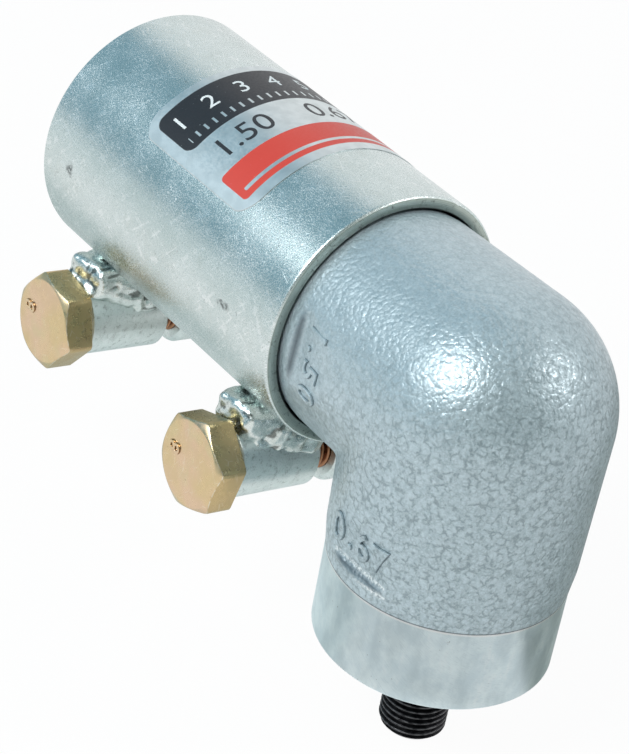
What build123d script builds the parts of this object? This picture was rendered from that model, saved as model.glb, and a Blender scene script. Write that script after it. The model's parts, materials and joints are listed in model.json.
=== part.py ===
from build123d import *
import os
from math import acos, atan2, cos, hypot, pi, radians, sin, tan

# Right-angle drill attachment, in millimetres.
# +X runs from the open drill end of the clamp sleeve to the angle head, and the output points down.
# The origin is the centre of the sleeve's drill-end face.
# In each leg of the head, h is the distance from the elbow and r the distance from the leg's axis.

# Ball bearings, four alike
bearing_bore = 15.0
bearing_od = 35.0
bearing_width = 11.0
ball_count = 8
ball_share = 0.6
race_land = 2.2
ball_clearance = 0.08
cage_half_depth = 1.3
cage_side = 0.9
bearing_edge = 0.6

# Bevel gears
pinion_teeth = 16
gear_teeth = 24
pressure_angle = radians(20)
dedendum_share = 1.25
face_width = 5.5
backlash = 0.2
gear_clearance = 0.5
shoulder_height = 1.3
pinion_hub = 4.6
hub_inset = 0.1
gear_hub_r = 9.5
gear_web = 2.0
lip = 0.15
root_sink = 0.3
flank_steps = 5

# Spindles, their keys and rings
pinion_nose_r = 4.5
gear_nose_r = 6.0
nose_reach = 1.0
nose_edge = 0.4
pinion_key_width = 2.5
gear_key_width = 3.0
key_length = 7.0
key_end_gap = 1.0
key_depth = 1.2
thread_d = 12.7
thread_reach = 21.2
thread_chamfer = 1.0
thread_run_in = 1.6
thread_relief = 1.0
relief_depth = 0.9
seat_clearance = 0.02
spacer_width = 2.5
spacer_height = 2.3
ring_play = 0.05
housing_ring_width = 1.5
housing_ring_depth = 1.0
housing_ring_height = 3.5
spindle_ring_width = 1.0
spindle_ring_depth = 0.35
spindle_ring_height = 2.4
ring_gap_angle = 40
seal_width = 1.8
seal_gap = 0.45
seal_clearance = 0.3
seal_recess = 0.6

# Angle housing
collar_wall = 4.65
collar_length = 17.0
collar_edge = 0.5
shoulder_step = 0.6
paint_step = 0.05
cone_length = 4.9
leg_draft = 0.5
ball_wall = 5.0
pad_depth = 1.2
pad_length = 12.5
pad_step = 2.0
pad_turn = 3

# Clamp sleeve
collar_clearance = 0.05
sleeve_wall = 3.2
rim_round = 0.7
bore_relief = 0.4
drill_land = 18.0
neck_gap = 1.8
neck_entry = 3.6
mouth_clearance = 0.45
mouth_depth = 4.2
slit_gap = 3.8
clamp_turn = -5.3

# Clamp lugs, welds and bolts
bolt_d = 10.0
bolt_across_flats = 17.0
bolt_head_height = 6.4
bolt_end_gap = 2.0
bolt_end_chamfer = 1.2
head_seat_gap = 0.05
head_chamfer_angle = radians(30)
head_face_share = 0.96
rear_bolt_inset = 13.5
front_bolt_inset = 11.0
rear_hex_turn = -50.4
front_hex_turn = -18.1
lug_wall = 2.5
lug_length = 19.2
lug_sink = 0.5
lug_edge = 1.0
plain_hole_clearance = 0.3
tapped_hole_clearance = 0.05
weld_half_width = 6.0
weld_inner = 5.0
weld_end_gap = 0.8
weld_side = 3.0

# Drive coupling
socket_length = 14.5
coupling_wall = 3.6
coupling_edge = 0.6
coupling_start_gap = 0.8
coupling_clearance = 0.05
coupling_groove = 0.8
coupling_stub_gap = 0.9
coupling_groove_lap = 1.2
coupling_flats = 17.0
coupling_flat_length = 8.0

# Foil label
label_length = 34.3
label_arc = 106
label_start = 24.2
label_thickness = 0.12
label_corner = 3.5
label_glue = 0.03

# Bearing radii
bearing_bore_r = bearing_bore / 2
bearing_od_r = bearing_od / 2
ball_pitch_r = (bearing_bore_r + bearing_od_r) / 2
ball_r = ball_share * (bearing_od_r - bearing_bore_r) / 2
seat_r = bearing_od_r + seat_clearance
spindle_r = bearing_bore_r - seat_clearance
thread_r = thread_d / 2

# Gear geometry: the teeth are as large as pass the shoulder that the inner bearing rests on
pinion_cone = atan2(pinion_teeth, gear_teeth)
gear_cone = atan2(gear_teeth, pinion_teeth)
shoulder_r = bearing_od_r - shoulder_height
gear_tip_r = shoulder_r - gear_clearance
tooth_module = 2 * gear_tip_r / (gear_teeth + 2 * cos(gear_cone))
cone_distance = tooth_module / 2 * hypot(pinion_teeth, gear_teeth)
addendum = tooth_module
dedendum = dedendum_share * tooth_module

# Stations along each leg, from the elbow outwards
pinion_heel = cone_distance * cos(pinion_cone) + dedendum * sin(pinion_cone)
bearing_start = pinion_heel + pinion_hub
outer_bearing = bearing_start + bearing_width + spacer_width
stack_end = outer_bearing + bearing_width
ring_start = stack_end + ring_play
seal_start = ring_start + housing_ring_width + seal_gap
collar_end = seal_start + seal_width + seal_recess
collar_start = collar_end - collar_length
leg_end = collar_start - cone_length
spindle_shoulder = collar_end + thread_run_in
thread_start = spindle_shoulder + thread_relief
spindle_end = collar_end + thread_reach
coupling_start = thread_start + coupling_start_gap
socket_start = spindle_end + coupling_stub_gap
coupling_end = socket_start + socket_length

# Radii of the head and the sleeve
collar_r = bearing_od_r + collar_wall
leg_end_r = collar_r + shoulder_step
leg_root_r = leg_end_r + leg_draft
bore_r = collar_r + collar_clearance
sleeve_r = bore_r + sleeve_wall
relief_r = bore_r + bore_relief
mouth_r = leg_end_r + mouth_clearance

# Stations along the sleeve
elbow_gap = collar_start - neck_entry
sleeve_length = drill_land + neck_gap + coupling_end - elbow_gap
elbow = Vector(sleeve_length + elbow_gap, 0, 0)
mouth_start = sleeve_length - mouth_depth
head_land_start = elbow.X - collar_end - neck_gap

# Clamp line, turned a little about the sleeve's axis from straight down
lug_r = bolt_d / 2 + lug_wall
lug_end = slit_gap / 2 + lug_length
bolt_drop = sleeve_r + lug_r - lug_sink
bolt_dir = Vector(0, 1, 0).rotate(Axis.X, clamp_turn)
down_dir = Vector(0, 0, -1).rotate(Axis.X, clamp_turn)
bolt_places = {
    "rear": (rear_bolt_inset, rear_hex_turn),
    "front": (sleeve_length - front_bolt_inset, front_hex_turn),
}


class Leg:
    """One leg of the head: its axis from the elbow outwards, and the way to the other leg."""

    def __init__(self, name, axis, other):
        self.name = name
        self.axis = Vector(*axis)
        self.other = Vector(*other)
        outer = self.other * -1
        self.line = Axis(elbow, self.axis)
        self.profile = Plane(elbow, x_dir=outer, z_dir=outer.cross(self.axis))


input_leg = Leg("input", (-1, 0, 0), (0, 0, -1))
output_leg = Leg("output", (0, 0, -1), (-1, 0, 0))
legs = [input_leg, output_leg]


def save(piece, name):
    """Label a finished piece and write it."""
    piece.part.label = name
    export_step(piece.part, f"parts/{name}.step")


def turned(leg, outline, name):
    """A piece turned about a leg's axis from an outline of (r, h) points."""
    with BuildPart() as piece:
        with BuildSketch(leg.profile):
            with BuildLine():
                Polyline(*outline, close=True)
            make_face()
        revolve(axis=leg.line)
    save(piece, name)


def ring_outline(r_in, r_out, start, width):
    """The (r, h) outline of a plain ring."""
    return [(r_in, start), (r_out, start), (r_out, start + width), (r_in, start + width)]


def clamp_plane(x, along):
    """A plane across a bolt's axis, at a distance along it from the middle of the slit."""
    origin = Vector(x, 0, 0) + down_dir * bolt_drop + bolt_dir * along
    return Plane(origin, x_dir=(1, 0, 0), z_dir=bolt_dir)


os.makedirs("parts", exist_ok=True)

# Clamp sleeve: a tube with a land at each end of its bore, slit along the clamp line
with BuildPart() as sleeve:
    with BuildSketch(Plane.XY):
        with BuildLine():
            Polyline(
                (0, bore_r),
                (0, sleeve_r),
                (sleeve_length, sleeve_r),
                (sleeve_length, mouth_r),
                (mouth_start, bore_r),
                (head_land_start, bore_r),
                (head_land_start, relief_r),
                (drill_land, relief_r),
                (drill_land, bore_r),
                close=True,
            )
        make_face()
    revolve(axis=Axis.X)
    fillet(sleeve.edges().filter_by(GeomType.CIRCLE).filter_by(lambda e: e.radius > mouth_r), rim_round)
    with BuildSketch(Plane.YZ):
        Rectangle(slit_gap, sleeve_r + lug_r, rotation=clamp_turn, align=(Align.CENTER, Align.MAX))
    extrude(amount=sleeve_length, mode=Mode.SUBTRACT)
save(sleeve, "clamp_sleeve")


def lugs(side, hole_clearance, name):
    """The two round lugs on one side of the slit, coped to the sleeve and bored for the bolts."""
    start, end = sorted((side * slit_gap / 2, side * lug_end))
    with BuildPart() as pair:
        for x, _ in bolt_places.values():
            with BuildSketch(clamp_plane(x, start)):
                Circle(lug_r)
            extrude(amount=end - start)
        chamfer(pair.edges().filter_by(GeomType.CIRCLE), lug_edge)
        for x, _ in bolt_places.values():
            with BuildSketch(clamp_plane(x, start)):
                Circle(bolt_d / 2 + hole_clearance)
            extrude(amount=end - start, mode=Mode.SUBTRACT)
        with BuildSketch(Plane.YZ):
            Circle(sleeve_r)
        extrude(amount=sleeve_length, mode=Mode.SUBTRACT)
    save(pair, name)


lugs(-1, plain_hole_clearance, "plain_lugs")
lugs(1, tapped_hole_clearance, "tapped_lugs")

# Weld beads that fill the wedge between each lug and the sleeve
lug_top = bolt_drop - lug_r
weld_end = lug_end - weld_end_gap
with BuildPart() as welds:
    for x, _ in bolt_places.values():
        with BuildSketch(Plane((x - weld_half_width, 0, 0), x_dir=bolt_dir, z_dir=(1, 0, 0))):
            for side in (-1, 1):
                with BuildLine():
                    Polyline(
                        (side * weld_end, -lug_top - weld_side),
                        (side * weld_end, -lug_top + weld_side),
                        (side * (weld_end - weld_side), -weld_end + weld_side),
                        (side * weld_inner, -weld_end + weld_side),
                        (side * weld_inner, -lug_top - weld_side),
                        close=True,
                    )
                make_face()
        extrude(amount=2 * weld_half_width)
        with BuildSketch(clamp_plane(x, -lug_end)):
            Circle(lug_r)
        extrude(amount=2 * lug_end, mode=Mode.SUBTRACT)
    with BuildSketch(Plane.YZ):
        Circle(sleeve_r)
    extrude(amount=sleeve_length, mode=Mode.SUBTRACT)
save(welds, "weld_beads")

# Hexagon clamp bolts
head_corner_r = bolt_across_flats / 2 / cos(pi / 6)
head_face_r = head_face_share * bolt_across_flats / 2
head_chamfer_drop = (head_corner_r - head_face_r) * tan(head_chamfer_angle)
head_seat = -lug_end - head_seat_gap
bolt_length = 2 * lug_end - bolt_end_gap
for place, (x, hex_turn) in bolt_places.items():
    with BuildPart() as bolt:
        with BuildSketch(clamp_plane(x, head_seat)):
            RegularPolygon(head_corner_r, 6, rotation=hex_turn)
        extrude(amount=-bolt_head_height)
        bolt_profile = Plane(clamp_plane(x, head_seat).origin, x_dir=(1, 0, 0), z_dir=down_dir * -1)
        with BuildSketch(bolt_profile):
            with BuildLine():
                Polyline(
                    (0, -bolt_head_height),
                    (head_face_r, -bolt_head_height),
                    (head_corner_r, -bolt_head_height + head_chamfer_drop),
                    (head_corner_r, 0),
                    (0, 0),
                    close=True,
                )
            make_face()
        revolve(axis=Axis(bolt_profile.origin, bolt_dir), mode=Mode.INTERSECT)
        with BuildSketch(clamp_plane(x, head_seat)):
            Circle(bolt_d / 2)
        extrude(amount=bolt_length)
        chamfer(bolt.faces().sort_by(Axis(bolt_profile.origin, bolt_dir))[-1].edges(), bolt_end_chamfer)
    save(bolt, f"{place}_clamp_bolt")

# Foil label, wrapped over the top of the sleeve, with rounded corners
label_r = sleeve_r + label_glue
label_width = 2 * label_r * sin(radians(label_arc / 2))
with BuildPart() as label:
    with BuildSketch(Plane.YZ.offset(label_start)):
        Circle(label_r + label_thickness)
        Circle(label_r, mode=Mode.SUBTRACT)
    extrude(amount=label_length)
    with BuildSketch(Plane.XY):
        with Locations((label_start + label_length / 2, 0)):
            RectangleRounded(label_length, label_width, label_corner)
    extrude(amount=2 * label_r, mode=Mode.INTERSECT)
save(label, "foil_label")

# Angle housing: two legs that meet in a ball corner, each with a turned collar at its end
ball_cavity_r = leg_root_r - ball_wall
ring_groove = housing_ring_width + ring_play
with BuildPart() as housing:
    for leg in legs:
        with BuildSketch(leg.profile):
            with BuildLine():
                Polyline(
                    (0, -leg_root_r),
                    (0, collar_end),
                    (collar_r - collar_edge, collar_end),
                    (collar_r, collar_end - collar_edge),
                    (collar_r, collar_start),
                    (collar_r + paint_step, collar_start),
                    (leg_end_r, leg_end),
                    (leg_root_r, 0),
                )
                RadiusArc((leg_root_r, 0), (0, -leg_root_r), leg_root_r)
            make_face()
        revolve(axis=leg.line)
    for leg in legs:
        with BuildSketch(leg.profile):
            with BuildLine():
                Polyline(
                    (0, 0),
                    (shoulder_r, 0),
                    (shoulder_r, bearing_start),
                    (seat_r, bearing_start),
                    (seat_r, ring_start - ring_play),
                    (seat_r + housing_ring_depth, ring_start - ring_play),
                    (seat_r + housing_ring_depth, ring_start + ring_groove),
                    (seat_r, ring_start + ring_groove),
                    (seat_r, collar_end),
                    (0, collar_end),
                    close=True,
                )
            make_face()
        revolve(axis=leg.line, mode=Mode.SUBTRACT)
        # Flat pad for a cast-in mark, running out towards the elbow
        pad_normal = Vector(0, -1, 0).rotate(leg.line, pad_turn if leg is output_leg else -pad_turn)
        pad_floor = leg_end - pad_step / 2
        pad_plane = Plane(elbow, x_dir=pad_normal, z_dir=pad_normal.cross(leg.axis))
        with BuildSketch(pad_plane):
            with BuildLine():
                Polyline(
                    (leg_root_r, pad_floor - pad_length),
                    (leg_end_r - pad_depth, pad_floor),
                    (leg_end_r, pad_floor + pad_step),
                    (leg_root_r + pad_depth, pad_floor + pad_step),
                    (leg_root_r + pad_depth, pad_floor - pad_length),
                    close=True,
                )
            make_face()
        extrude(amount=leg_root_r, both=True, mode=Mode.SUBTRACT)
    with Locations(elbow):
        Sphere(ball_cavity_r, mode=Mode.SUBTRACT)
save(housing, "angle_housing")


def tooth_outline(cone):
    """A tooth's section at its heel, on the involute of the gear's back cone."""
    virtual_r = cone_distance * tan(cone)
    base_r = virtual_r * cos(pressure_angle)
    tip_r = virtual_r + addendum
    root_r = virtual_r - dedendum - root_sink
    flank_start = max(base_r, virtual_r - dedendum)
    pitch_half_angle = (pi * tooth_module / 2 - backlash) / 2 / virtual_r

    def flank_point(radius):
        angle = acos(min(1, base_r / radius))
        half = pitch_half_angle + tan(pressure_angle) - pressure_angle - tan(angle) + angle
        return radius * sin(half), radius * cos(half) - virtual_r

    steps = [flank_start + (tip_r - flank_start) * k / flank_steps for k in range(flank_steps + 1)]
    flank = [flank_point(radius) for radius in [root_r] + steps]
    return flank + [(-u, v) for u, v in reversed(flank)]


def key_block(leg, nose_r, key_width, clearance):
    """A key, or with a clearance its slot, half in the spindle's nose and half in the gear."""
    side = leg.profile.z_dir
    centre = elbow + leg.axis * (bearing_start - key_end_gap - key_length / 2) + side * nose_r
    with BuildPart() as block:
        with BuildSketch(Plane(centre - side * (key_depth + clearance), x_dir=leg.axis, z_dir=side)):
            Rectangle(key_length + 2 * clearance, key_width + 2 * clearance)
        extrude(amount=2 * (key_depth + clearance))
    return block


def bevel_gear(leg, teeth, cone, first_angle, nose_r, hub, key_width, name):
    """A straight bevel gear with its apex at the elbow, bored and slotted for its spindle's nose."""
    radial = leg.other
    pitch_line = leg.axis * cos(cone) + radial * sin(cone)
    outline = tooth_outline(cone)
    with BuildPart() as tooth:
        for distance in (cone_distance, cone_distance - face_width):
            size = distance / cone_distance
            heel_point = elbow + pitch_line * distance
            with BuildSketch(Plane(heel_point, x_dir=radial.cross(leg.axis), z_dir=pitch_line)):
                with BuildLine():
                    Polyline(*[(u * size, v * size) for u, v in outline], close=True)
                make_face()
        loft(ruled=True)

    def root_point(distance):
        depth = dedendum * distance / cone_distance
        return distance * sin(cone) - depth * cos(cone), distance * cos(cone) + depth * sin(cone)

    toe = root_point(cone_distance - face_width - lip)
    heel = root_point(cone_distance + lip)
    bore = nose_r + seat_clearance
    slot = key_block(leg, nose_r, key_width, seat_clearance)
    with BuildPart() as gear:
        with BuildSketch(leg.profile):
            with BuildLine():
                Polyline(
                    (bore, toe[1]),
                    toe,
                    heel,
                    *hub(heel),
                    (bore, bearing_start),
                    close=True,
                )
            make_face()
        revolve(axis=leg.line)
        turns = [first_angle + 360 / teeth * k for k in range(teeth)]
        add([tooth.part.rotate(leg.line, turn) for turn in turns])
        add(slot.part, mode=Mode.SUBTRACT)
    save(gear, name)


def pinion_hub_outline(heel):
    hub_r = heel[0] - hub_inset
    return [(hub_r, heel[1]), (hub_r, bearing_start)]


def gear_hub_outline(heel):
    web = (heel[0] - gear_web * cos(gear_cone), heel[1] + gear_web * sin(gear_cone))
    return [web, (gear_hub_r, web[1]), (gear_hub_r, bearing_start)]


bevel_gear(
    input_leg,
    pinion_teeth,
    pinion_cone,
    0,
    pinion_nose_r,
    pinion_hub_outline,
    pinion_key_width,
    "bevel_pinion",
)
bevel_gear(
    output_leg,
    gear_teeth,
    gear_cone,
    180 / gear_teeth,
    gear_nose_r,
    gear_hub_outline,
    gear_key_width,
    "bevel_gear",
)


def spindle(leg, nose_r, nose_start, key_width):
    """A spindle: nose for the gear, bearing journal, ring groove and threaded stub."""
    groove_end = ring_start + spindle_ring_width + ring_play
    slot = key_block(leg, nose_r, key_width, seat_clearance)
    with BuildPart() as shaft:
        with BuildSketch(leg.profile):
            with BuildLine():
                Polyline(
                    (0, nose_start),
                    (nose_r - nose_edge, nose_start),
                    (nose_r, nose_start + nose_edge),
                    (nose_r, bearing_start),
                    (spindle_r, bearing_start),
                    (spindle_r, ring_start - ring_play),
                    (spindle_r - spindle_ring_depth, ring_start - ring_play),
                    (spindle_r - spindle_ring_depth, groove_end),
                    (spindle_r, groove_end),
                    (spindle_r, spindle_shoulder),
                    (thread_r - relief_depth, spindle_shoulder),
                    (thread_r - relief_depth, thread_start),
                    (thread_r, thread_start),
                    (thread_r, spindle_end - thread_chamfer),
                    (thread_r - thread_chamfer, spindle_end),
                    (0, spindle_end),
                    close=True,
                )
            make_face()
        revolve(axis=leg.line)
        add(slot.part, mode=Mode.SUBTRACT)
    save(shaft, f"{leg.name}_spindle")
    save(key_block(leg, nose_r, key_width, 0), f"{leg.name}_key")


pinion_toe = (cone_distance - face_width) * cos(pinion_cone)
gear_toe = (cone_distance - face_width) * cos(gear_cone)
spindle(input_leg, pinion_nose_r, pinion_toe - nose_reach, pinion_key_width)
spindle(output_leg, gear_nose_r, gear_toe - nose_reach, gear_key_width)


def bearing(leg, start, name):
    """A ball bearing: outer and inner race, balls and cage."""
    middle = start + bearing_width / 2
    races = {
        "outer_race": (ball_pitch_r + race_land, bearing_od_r, bearing_od_r),
        "inner_race": (bearing_bore_r, ball_pitch_r - race_land, bearing_bore_r),
    }
    for race, (r_in, r_out, fit_r) in races.items():
        with BuildPart() as piece:
            with BuildSketch(leg.profile):
                with BuildLine():
                    Polyline(*ring_outline(r_in, r_out, start, bearing_width), close=True)
                make_face()
                with Locations((ball_pitch_r, middle)):
                    Circle(ball_r + ball_clearance, mode=Mode.SUBTRACT)
            revolve(axis=leg.line)
            rims = piece.edges().filter_by(GeomType.CIRCLE)
            chamfer(rims.filter_by(lambda e: abs(e.radius - fit_r) < seat_clearance), bearing_edge)
        save(piece, f"{name}_{race}")
    centre = elbow + leg.axis * middle
    turns = [360 / ball_count * k for k in range(ball_count)]
    outward = [leg.other.rotate(Axis((0, 0, 0), leg.axis), turn) for turn in turns]
    with BuildPart() as balls:
        with Locations(*[centre + way * ball_pitch_r for way in outward]):
            Sphere(ball_r)
    save(balls, f"{name}_balls")
    with BuildPart() as cage:
        with BuildSketch(leg.profile):
            with Locations((ball_pitch_r, middle)):
                Rectangle(2 * cage_half_depth, 2 * (ball_r + cage_side))
        revolve(axis=leg.line)
        for way in outward:
            with BuildSketch(Plane(centre, x_dir=leg.axis, z_dir=way)):
                Circle(ball_r + ball_clearance)
            extrude(amount=ball_pitch_r + ball_r, mode=Mode.SUBTRACT)
    save(cage, f"{name}_cage")


def open_ring(leg, r_in, r_out, width, name):
    """A retaining ring with a gap."""
    with BuildPart() as ring:
        with BuildSketch(leg.profile):
            with BuildLine():
                Polyline(*ring_outline(r_in, r_out, ring_start, width), close=True)
            make_face()
        revolve(axis=leg.line, revolution_arc=360 - ring_gap_angle)
    save(ring, name)


# Bearings, spacers, retaining rings and dust seal of each leg
for leg in legs:
    bearing(leg, bearing_start, f"{leg.name}_inner_bearing")
    bearing(leg, outer_bearing, f"{leg.name}_outer_bearing")
    spacer_start = bearing_start + bearing_width
    spacer_in = bearing_od_r - spacer_height
    spacer_out = bearing_bore_r + spacer_height
    outer_spacer = ring_outline(spacer_in, bearing_od_r, spacer_start, spacer_width)
    inner_spacer = ring_outline(bearing_bore_r, spacer_out, spacer_start, spacer_width)
    turned(leg, outer_spacer, f"{leg.name}_outer_spacer")
    turned(leg, inner_spacer, f"{leg.name}_inner_spacer")
    ring_out = seat_r + housing_ring_depth - ring_play
    ring_in = spindle_r - spindle_ring_depth + ring_play
    open_ring(leg, ring_out - housing_ring_height, ring_out, housing_ring_width, f"{leg.name}_housing_ring")
    open_ring(leg, ring_in, ring_in + spindle_ring_height, spindle_ring_width, f"{leg.name}_spindle_ring")
    seal = ring_outline(spindle_r + seal_clearance, bearing_od_r, seal_start, seal_width)
    turned(leg, seal, f"{leg.name}_dust_seal")

# Drive coupling: a sleeve nut on the input spindle, open to the drill's spindle
coupling_bore = thread_r + coupling_clearance
coupling_r = coupling_bore + coupling_wall
with BuildPart() as coupling:
    with BuildSketch(input_leg.profile):
        with BuildLine():
            Polyline(
                (coupling_bore, coupling_start),
                (coupling_r - coupling_edge, coupling_start),
                (coupling_r, coupling_start + coupling_edge),
                (coupling_r, coupling_end - coupling_edge),
                (coupling_r - coupling_edge, coupling_end),
                (coupling_bore, coupling_end),
                (coupling_bore, socket_start),
                (coupling_bore + coupling_groove, socket_start),
                (coupling_bore + coupling_groove, spindle_end - coupling_groove_lap),
                (coupling_bore, spindle_end - coupling_groove_lap),
                close=True,
            )
        make_face()
    revolve(axis=input_leg.line)
    flat_middle = elbow + input_leg.axis * (coupling_end - coupling_flat_length / 2)
    for side in (-1, 1):
        flat_start = flat_middle + input_leg.other * (side * coupling_flats / 2)
        with BuildSketch(Plane(flat_start, x_dir=input_leg.axis, z_dir=input_leg.other * side)):
            Rectangle(coupling_flat_length, 2 * coupling_r)
        extrude(amount=coupling_r, mode=Mode.SUBTRACT)
save(coupling, "drive_coupling")
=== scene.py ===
import json
import random
from math import atan2, ceil, cos, pi, radians, sin, sqrt, tan

import bmesh
import bpy
import numpy as np
from mathutils import Matrix, Vector, noise
from mathutils.bvhtree import BVHTree


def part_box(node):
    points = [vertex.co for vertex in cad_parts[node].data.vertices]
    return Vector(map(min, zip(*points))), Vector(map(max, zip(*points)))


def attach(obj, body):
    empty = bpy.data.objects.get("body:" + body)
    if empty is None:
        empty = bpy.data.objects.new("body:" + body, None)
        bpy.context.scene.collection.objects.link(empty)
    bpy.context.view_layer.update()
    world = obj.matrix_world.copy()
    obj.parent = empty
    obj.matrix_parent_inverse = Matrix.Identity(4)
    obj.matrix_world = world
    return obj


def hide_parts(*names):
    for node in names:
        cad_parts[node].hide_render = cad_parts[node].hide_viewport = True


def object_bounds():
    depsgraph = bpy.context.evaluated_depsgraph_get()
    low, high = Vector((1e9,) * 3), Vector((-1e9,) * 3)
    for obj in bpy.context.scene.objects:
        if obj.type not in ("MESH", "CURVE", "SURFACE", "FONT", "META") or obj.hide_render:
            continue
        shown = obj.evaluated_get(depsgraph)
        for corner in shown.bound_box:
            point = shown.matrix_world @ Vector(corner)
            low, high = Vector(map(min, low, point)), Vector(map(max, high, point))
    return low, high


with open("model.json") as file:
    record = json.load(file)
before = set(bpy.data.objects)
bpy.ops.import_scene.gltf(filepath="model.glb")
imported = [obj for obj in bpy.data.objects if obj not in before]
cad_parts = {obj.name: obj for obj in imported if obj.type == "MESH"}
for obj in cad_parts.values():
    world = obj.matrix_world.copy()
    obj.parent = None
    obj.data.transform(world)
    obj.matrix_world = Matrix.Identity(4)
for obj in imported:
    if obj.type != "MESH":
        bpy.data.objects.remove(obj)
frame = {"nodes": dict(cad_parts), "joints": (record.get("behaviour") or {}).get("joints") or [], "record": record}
cad_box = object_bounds()

# Right-angle drill attachment, in metres: +X from the sleeve's open end to the head, output along -Z
MM = 0.001
same_point = 0.001 * MM
cut_tolerance = 1e-7
sharp_edge = radians(32)
nodes = frame["nodes"]
joints = {joint["name"]: joint for joint in frame["joints"]}
mounts = {mount["name"]: mount for mount in frame["record"]["mounts"]}

# Places that the frame gives
elbow = Vector(joints["head_swivel"]["pos_m"])
input_axis = Vector((-1, 0, 0))
output_axis = Vector((0, 0, -1))
sleeve_low, sleeve_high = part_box("clamp_sleeve")
sleeve_r = (sleeve_high.y - sleeve_low.y) / 2
collar_end = -mounts["output_collar"]["pos_m"][2]
collar_start = collar_end - mounts["output_collar"]["dims"]["length_mm"] * MM
thread_r = mounts["output_thread"]["dims"]["r_mm"] * MM
thread_end = -mounts["output_thread"]["pos_m"][2]
thread_start = thread_end - mounts["output_thread"]["dims"]["length_mm"] * MM
bolt_out = Vector(joints["rear_bolt_turn"]["axis"]).normalized()
clamp_down = Vector((1, 0, 0)).cross(bolt_out)
bolt_drop = Vector(joints["rear_bolt_turn"]["pos_m"]).dot(clamp_down)
label_low, label_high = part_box("foil_label")

# Camera, solved from the photograph
camera_place = Vector((355.96, -256.74, 220.46)) * MM
camera_right = Vector((0.57461, 0.80392, 0.1534))
camera_back = Vector((0.64135, -0.55875, 0.52581))
camera_lens = 117.02
camera_sensor = 36.0
camera_clip = 0.01

# Stage
floor_gap = 0.3 * MM
floor_size = 8.0
floor_paint = (0.85, 0.86, 0.86)
wall_distance = 1.6
wall_height = 2.2
wall_round = 0.5
wall_steps = 12
ceiling_reach = 0.55
backdrop_white = 0.96

# Shaded parts of the floor: name, colour in reflections, then X from the elbow and Y, in millimetres
shade_gap = 0.2 * MM
shades = (
    ("shade_behind", (0.31, 0.34, 0.32), (-85, 60), (25, 300)),
    ("shade_left", (0.59, 0.67, 0.67), (-216, -90), (-48, 25)),
    ("shade_under", (0.75, 0.81, 0.81), (-90, -14), (-48, 25)),
    ("shade_front", (0.76, 0.83, 0.84), (-800, -160), (-1000, -165)),
)

# Softboxes: name, direction from the elbow, distance, width and height, watts, shift to the side
softboxes = (
    ("key", (0.03, -0.68, 0.73), 1.1, (0.44, 0.32), 7.2, 0.0),
    ("strip", (-0.67, -0.47, 0.59), 1.3, (1.0, 0.3), 3.1, 0.68),
    ("rim", (0.54, 0.57, 0.62), 1.1, (0.2, 0.2), 1.9, 0.0),
)

# Room colours to the left and the right, and the span of directions between them
room_left = (0.265, 0.435, 0.53)
room_right = (0.32, 0.36, 0.35)
room_span = (-0.3, 0.6)

# Head, each pad with its turn round the leg and the height and depth of its top, floor and lip
casting_voxel = 0.36 * MM
casting_smooths = 2
casting_sharp = radians(60)
corner_smooths = 14
corner_width = 4.0 * MM
cavity_r = 20.0 * MM
leg_taper = ((0, 23.25 * MM), (27.473 * MM, 22.75 * MM), (32.373 * MM, 22.2 * MM))
input_pad = (radians(6), (14.0 * MM, 23.0 * MM), (25.0 * MM, 21.55 * MM), (26.4 * MM, 22.8 * MM))
output_pad = (radians(-2), (16.0 * MM, 22.95 * MM), (27.9 * MM, 21.4 * MM), (29.4 * MM, 22.55 * MM))
pad_side_share = 0.8
pad_edge = 0.1 * MM

# Painted shade as a dark line, and painted highlights as pale specks, at a pad's step: middle and width, as shares
# of the step's length
pool_line = (0.5, 0.42)
pool_fade = 0.7 * MM
glint_corner = (-0.12, 0.24)
glint_lip = (1.08, 0.26)
glint_lip_share = 0.25
glint_lip_fade = 6.0 * MM

# Cast numbers: name, text, leg, reading direction, height, shift to the side, size and spacing
cast_marks = (
    ("input_mark", "1.50", input_axis, Vector((0, 0, -1)), 20.6 * MM, -1.2 * MM, 6.8 * MM, 1.35),
    ("output_mark", "0.67", output_axis, Vector((1, 0, 0)), 23.0 * MM, 0.0, 7.8 * MM, 1.15),
)
cast_out = Vector((0, -22.5, 0)) * MM
cast_height = 0.35 * MM
cast_bevel = 0.1 * MM
cast_foot_height = 0.05 * MM
cast_foot_grow = 0.2 * MM
numeral_slice = 0.4 * MM
press_reach = 5.0 * MM

# Sleeve: its mouth, closed a little to the thin dark line of the photograph, and scuffs in millimetres
mouth_r = 23.0 * MM
mouth_depth = 0.01 * MM
mouth_edge = 0.5 * MM
sleeve_scuffs = (
    (Vector((9.8, -25.3, 1.2)), (1.3, 5.0, 1.7)),
    (Vector((62.5, -25.3, 1.0)), (2.2, 5.0, 0.9)),
)

# Threads
bolt_r = 5.0 * MM
bolt_pitch = 1.5 * MM
bolt_chamfer = 1.2 * MM
stub_pitch = 1.27 * MM
stub_chamfer = 1.0 * MM
thread_lead = 1.0 * MM
thread_overlap = 0.2 * MM
thread_depth_share = 0.6
thread_crest_share = 0.1
thread_flank_share = 0.75
thread_segments = 96
thread_rows = 14

# Bolt heads
head_segments = 360
head_sharp = radians(40)
head_over_shank = 1.2
head_chamfer = radians(30)
head_edge = 0.14 * MM
head_face_share = 0.96
head_corner_round = 0.16 * MM
head_corner_angle = radians(2.2)
head_seat_edge = 0.25 * MM
stamp_space = 0.2 * MM
stamp_size = 4.6 * MM
stamp_height = 0.13 * MM
stamp_bevel = 0.06 * MM
stamp_foot_height = 0.02 * MM
stamp_foot_grow = 0.14 * MM
stamp_place = Vector((-4.6, 0, 0.8)) * MM

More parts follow.
